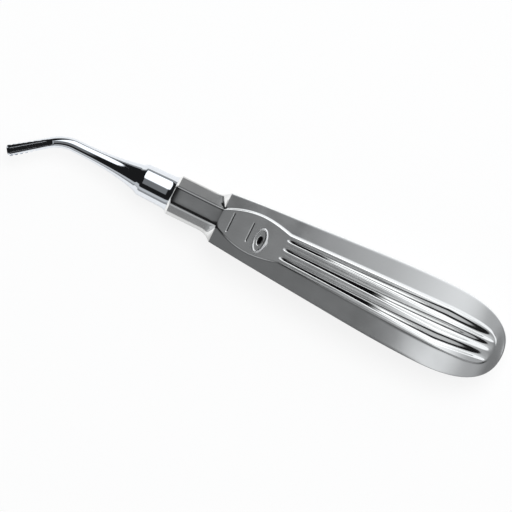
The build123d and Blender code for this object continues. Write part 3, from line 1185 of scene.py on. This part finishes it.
def steel(name, colour_value, roughness, lines):
    """A bare steel with fine lines: its material, tree, shader and roughness."""
    material, tree, shader = new_material(name)
    place = add(tree, "ShaderNodeTexCoord").outputs["Object"]
    inputs = {"Line Scale": lines[0], "Vector": place}
    grain = fill(add(tree, "ShaderNodeGroup", node_tree=grain_group()), inputs).outputs
    rough = mapped(Value(grain["Clouds"]), *CLOUD_RANGE, *roughness, "LINEAR")
    inputs = {"Strength": 1.0, "Distance": lines[1], "Height": grain["Lines"]}
    bump = add(tree, "ShaderNodeBump", inputs)
    fill(shader, {
        "Metallic": 1.0,
        "Base Color": (*colour_value, 1.0),
        "Roughness": rough,
        "Normal": bump.outputs[0],
    })
    return material, tree, shader, rough


# Least and most roughness of each steel, and the scale and height of its fine lines
SATIN_ROUGHNESS = (0.10, 0.16)
SATIN_LINES = (9000.0, 0.0012 * MM)
POLISHED_ROUGHNESS = (0.03, 0.07)
POLISHED_LINES = (5000.0, 0.0001 * MM)
POLISHED_SHARE = 0.6
MATT_ROUGHNESS = 0.62


def satin_steel(finish):
    """Satin steel with brighter, smoother edges, painted highlights on the panel's border and the
    shoulder, and painted shade in its recesses and along the neck's edge.
    """
    material, tree, shader, rough = steel(
        "Satin Steel", finish.satin, SATIN_ROUGHNESS, SATIN_LINES
    )

    def attribute(name):
        return Value(add(tree, "ShaderNodeAttribute", attribute_name=name).outputs["Fac"])

    def mixed(first, last, part):
        inputs = {"A": first, "B": (*last, 1.0), "Factor": part}
        return fill(add(tree, "ShaderNodeMix", data_type="RGBA"), inputs).outputs["Result"]

    # The polish attribute holds the edges' real polish and the painted highlights on the panel's
    # border and the shoulder's facets
    polish = attribute("edge_polish_and_highlight")
    matt = attribute("mark_matt")
    shine = maths("MAXIMUM", polish, attribute("panel_tone"))
    # Painted shade: the flutes' narrow grooves, the marks' recesses and a line along the neck's
    # edge are darkened towards the shade colour
    dark = maths("MAXIMUM", attribute("flute_groove_shade"), attribute("mark_and_edge_shade"))
    tone = mixed(mixed((*finish.satin, 1.0), finish.bright, shine), finish.rim, matt)
    rough = rough * mapped(polish, 0.0, 1.0, 1.0, POLISHED_SHARE, "LINEAR")
    rough = blend(rough, MATT_ROUGHNESS, matt)
    fill(shader, {"Base Color": mixed(tone, finish.painted_shade, dark), "Roughness": rough})
    return material


def polished_steel(finish):
    """Mirror-polished steel with the faintest haze."""
    return steel("Polished Steel", finish.polished, POLISHED_ROUGHNESS, POLISHED_LINES)[0]


# Operators


def set_material(piece, material):
    """Leaves a piece with one material."""
    piece.data.materials.clear()
    piece.data.materials.append(material)


class ELEVATOR_OT_handle(bpy.types.Operator):
    """Builds the satin handle with its panels, flutes and marks"""

    bl_idname = "elevator.handle"
    bl_label = "Build Handle"

    def execute(self, context):
        sizes = context.scene.elevator_handle
        panel = context.scene.elevator_panel
        flutes = context.scene.elevator_flutes
        shape = HandleMesh(sizes, panel)
        shape.neck(shape.body())
        piece = new_piece("fluted_handle", shape.points, shape.faces, radians(38))
        for name, values in (
            ("mark_and_edge_shade", shape.dark),
            ("edge_polish_and_highlight", shape.polish),
            ("panel_tone", shape.tone),
            ("mark_matt", shape.matt),
        ):
            give_attribute(piece, name, values)
        material = satin_steel(context.scene.elevator_finish)
        values = {name: getattr(flutes, name.lower().replace(" ", "_")) for name in FLUTE_INPUTS}
        apply_tree(piece, flute_tree(), {
            **values,
            "Count": float(flutes.count),
            "Axis Height": AXIS_Z,
            "Front": NECK_X + sizes.body_start + flutes.front_from_shoulder,
            "Rear": NECK_X + HANDLE_LENGTH - flutes.rear_from_butt,
            "End": NECK_X + HANDLE_LENGTH - flutes.end_from_butt,
            "Material": material,
        })
        set_material(piece, material)
        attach(piece, "root")
        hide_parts("handle")
        return {"FINISHED"}


class ELEVATOR_OT_working_end(bpy.types.Operator):
    """Builds the polished blade, shank, collar and tang"""

    bl_idname = "elevator.working_end"
    bl_label = "Build Working End"

    def execute(self, context):
        sizes = context.scene.elevator_working
        piece = new_piece("toothed_working_end", *working_end_mesh(sizes), radians(35))
        root, ahead, across = blade_frame(sizes)
        material = polished_steel(context.scene.elevator_finish)
        apply_tree(piece, teeth_tree(), {
            "Root": root,
            "Ahead": ahead,
            "Across": across,
            "Length": sizes.blade_length,
            "Root Width": sizes.root_width,
            "Tip Width": sizes.blade_width,
            "Count": float(sizes.tooth_count),
            "Pitch": sizes.tooth_pitch,
            "Radius": sizes.tooth_radius,
            "Depth": sizes.tooth_depth,
            "From Tip": sizes.tooth_from_tip,
            "Material": material,
        })
        set_material(piece, material)
        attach(piece, "root")
        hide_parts("working_end")
        return {"FINISHED"}


# The studio

CAMERA_HEIGHT = 1.2
PHOTO_SPAN = 147.0 * MM
PHOTO_TURN = radians(26.3)
PHOTO_CENTRE = (NECK_X + 29.6 * MM, -5.39 * MM)

# Levels of light that the steel mirrors
CEILING_LEVEL = 0.185
DARK_LEVEL = 0.012
WALL_LEVEL = 0.55
SOFT_LIGHT_LEVEL = 1.35
LOW_LEVEL = 0.3
LIGHT_COLOUR = (0.95, 0.975, 1.0, 1.0)
WHITE = (1.0, 1.0, 1.0, 1.0)

# Angles off the top in degrees, along and across the handle, over which each light comes or
# goes, some with the levels at both ends
GLOW_SLANT = 0.393
GLOW_EDGE = (1.0, 4.4)
GLOW_RISE = (0.0, 10.0, 0.6, 1.0)
GLOW_FALL = (11.0, 22.0, 0.0, 0.5)
GLOW_END = (26.0, 45.0, 0.0, 0.25)
TIP_DARK = (-10.0, -5.0, 1.0, 0.0)
TIP_DARK_END = (-86.0, -80.0)
NEAR_DARK = (-28.0, -24.0, 1.0, 0.0)
NEAR_WALL = (-62.0, -56.0, 1.0, 0.0)
SOFT_LIGHT_START = 9.0
SOFT_LIGHT_SLANT = 0.3
SOFT_LIGHT_CORNER = 18.0
SOFT_LIGHT_CORNER_SLANT = 3.0
SOFT_LIGHT_EDGE = (0.0, 7.0)
SOFT_LIGHT_END = (76.0, 78.0, 1.0, 0.0)
LOW_BAND = (77.0, 80.0)
LOW_BAND_SIDES = (0.0, 0.4)

# Shares of the floor's white that the camera and the steel see, and how it dims to each side
FLOOR_REACH = 3.0
FLOOR_WHITE = 0.86
FLOOR_MIRRORED = 0.5
FLOOR_DIM = 0.3
FLOOR_NEAR = 0.09
FLOOR_FAR = 0.15

# Lamp that gives the soft shadow
LAMP_SIZE = 0.6
LAMP_POWER = 6.0
LAMP_AWAY = 0.35
LAMP_HEIGHT = 0.9


def studio_world():
    """A world that is white to the camera and holds the studio's soft lights for the steel."""
    world = bpy.data.worlds.new("Studio")
    world.use_nodes = True
    tree = world.node_tree
    place = add(tree, "ShaderNodeTexCoord").outputs["Generated"]
    x, y, z = coordinates(tree, place)
    turn_x = maths("DEGREES", maths("ARCTAN2", x, z))
    turn_y = maths("DEGREES", maths("ARCTAN2", y, z))

    # Glow towards the butt, with a slanting edge, over a dim ceiling
    slant = maths("MULTIPLY_ADD", turn_y, GLOW_SLANT, turn_x)
    glow = mapped(turn_x, *GLOW_RISE) - mapped(turn_x, *GLOW_FALL) - mapped(turn_x, *GLOW_END)
    light = blend(CEILING_LEVEL, glow, mapped(slant, *GLOW_EDGE))

    # Dark end beyond the tip, and dark near side with a light wall behind it
    light = blend(light, DARK_LEVEL, mapped(turn_x, *TIP_DARK) * mapped(turn_x, *TIP_DARK_END))
    light = blend(light, DARK_LEVEL, mapped(turn_y, *NEAR_DARK))
    light = blend(light, WALL_LEVEL, mapped(turn_y, *NEAR_WALL))

    # Large soft light over the far side, whose edge slants away towards the tip
    back = -maths("MINIMUM", turn_x, 0.0)
    more = maths("MAXIMUM", back - SOFT_LIGHT_CORNER, 0.0)
    start = maths("MULTIPLY_ADD", back, SOFT_LIGHT_SLANT, SOFT_LIGHT_START)
    start = maths("MULTIPLY_ADD", more, SOFT_LIGHT_CORNER_SLANT, start)
    lamp = mapped(turn_y - start, *SOFT_LIGHT_EDGE) * mapped(turn_y, *SOFT_LIGHT_END)
    light = blend(light, SOFT_LIGHT_LEVEL, lamp)

    # Dark band low over both long sides
    off_top = maths("DEGREES", maths("ARCTAN2", maths("SQRT", x**2.0 + y**2.0), z))
    sideways = mapped(abs(y) - abs(x), *LOW_BAND_SIDES)
    light = blend(light, LOW_LEVEL, mapped(off_top, *LOW_BAND) * sideways)

    rays = add(tree, "ShaderNodeLightPath").outputs
    lit = fill(tree.nodes["Background"], {"Color": LIGHT_COLOUR, "Strength": light})
    plain = add(tree, "ShaderNodeBackground", {"Color": WHITE})
    inputs = {0: rays["Is Camera Ray"], 1: lit.outputs[0], 2: plain.outputs[0]}
    mix = add(tree, "ShaderNodeMixShader", inputs)
    give(tree.nodes["World Output"].inputs["Surface"], mix.outputs[0])
    return world


def floor_material(finish):
    """Pale floor that looks white to the camera and in the steel, and keeps a soft shadow."""
    material, tree, shader = new_material("Floor")
    rays = add(tree, "ShaderNodeLightPath").outputs
    camera, glossy = Value(rays["Is Camera Ray"]), Value(rays["Is Glossy Ray"])
    mirrored = maths("MAXIMUM", glossy, Value(rays["Is Transmission Ray"])) * FLOOR_MIRRORED
    white = maths("MAXIMUM", camera, mirrored) * FLOOR_WHITE

    # Steel sees the long sides of the floor end in the dark of the room
    place = add(tree, "ShaderNodeTexCoord").outputs["Object"]
    aside = abs(coordinates(tree, place)[1])
    level = blend(1.0, mapped(aside, FLOOR_NEAR, FLOOR_FAR, 1.0, FLOOR_DIM), glossy)
    shade = add(tree, "ShaderNodeVectorMath", operation="SCALE")
    fill(shade, {0: finish.floor, "Scale": level})
    inputs = {"Base Color": shade.outputs[0], "Roughness": 0.8, "Specular IOR Level": 0.1}
    fill(shader, inputs)
    glow = add(tree, "ShaderNodeEmission", {"Color": WHITE, "Strength": level})
    inputs = {0: white, 1: shader.outputs[0], 2: glow.outputs[0]}
    mix = add(tree, "ShaderNodeMixShader", inputs)
    give(tree.nodes["Material Output"].inputs["Surface"], mix.outputs[0])
    return material


class ELEVATOR_OT_stage(bpy.types.Operator):
    """Builds the pale floor, the soft lights and the camera"""

    bl_idname = "elevator.stage"
    bl_label = "Build Stage"

    def execute(self, context):
        scene = context.scene
        far = FLOOR_REACH
        corners = [(-far, -far, 0), (far, -far, 0), (far, far, 0), (-far, far, 0)]
        mesh = bpy.data.meshes.new("studio_floor")
        mesh.from_pydata(corners, [], [(0, 1, 2, 3)])
        mesh.materials.append(floor_material(scene.elevator_finish))
        floor = bpy.data.objects.new("studio_floor", mesh)
        scene.collection.objects.link(floor)
        scene.world = studio_world()
        lamp = bpy.data.lights.new("soft_lamp", "AREA")
        lamp.size = LAMP_SIZE
        lamp.energy = LAMP_POWER
        lamp_object = bpy.data.objects.new("soft_lamp", lamp)
        lamp_object.location = (0.0, LAMP_AWAY, LAMP_HEIGHT)
        lamp_object.rotation_euler = (-atan2(LAMP_AWAY, LAMP_HEIGHT), 0, 0)
        lamp_object.visible_glossy = False
        scene.collection.objects.link(lamp_object)
        camera = bpy.data.cameras.new("photo_camera")
        camera.lens = camera.sensor_width * (CAMERA_HEIGHT - 2 * AXIS_Z) / PHOTO_SPAN
        camera.clip_end = 10.0
        camera_object = bpy.data.objects.new("photo_camera", camera)
        camera_object.location = (*PHOTO_CENTRE, CAMERA_HEIGHT)
        camera_object.rotation_euler = (0, 0, PHOTO_TURN)
        scene.collection.objects.link(camera_object)
        scene.camera = camera_object
        scene.view_settings.view_transform = "Standard"
        return {"FINISHED"}


class ELEVATOR_PT_sidebar(bpy.types.Panel):
    """Lists the operators of the elevator and its studio"""

    bl_idname = "ELEVATOR_PT_sidebar"
    bl_label = "Dental Elevator"
    bl_space_type = "VIEW_3D"
    bl_region_type = "UI"
    bl_category = "Elevator"

    def draw(self, context):
        column = self.layout.column()
        for operator in (ELEVATOR_OT_handle, ELEVATOR_OT_working_end, ELEVATOR_OT_stage):
            column.operator(operator.bl_idname)


GROUPS = {
    "elevator_handle": HandleSizes,
    "elevator_panel": PanelSizes,
    "elevator_flutes": FluteSizes,
    "elevator_working": WorkingSizes,
    "elevator_finish": Finish,
}
CLASSES = (
    ELEVATOR_OT_handle,
    ELEVATOR_OT_working_end,
    ELEVATOR_OT_stage,
    ELEVATOR_PT_sidebar,
)


def register():
    """Registers the sizes, the operators and the panel."""
    for name, group in GROUPS.items():
        bpy.utils.register_class(group)
        setattr(bpy.types.Scene, name, PointerProperty(type=group))
    for item in CLASSES:
        bpy.utils.register_class(item)


def unregister():
    """Takes back what register did."""
    for item in reversed(CLASSES):
        bpy.utils.unregister_class(item)
    for name, group in reversed(GROUPS.items()):
        delattr(bpy.types.Scene, name)
        bpy.utils.unregister_class(group)


def main():
    """Builds everything in order."""
    register()
    bpy.ops.elevator.stage()
    bpy.ops.elevator.handle()
    bpy.ops.elevator.working_end()


if __name__ == "__main__":
    main()
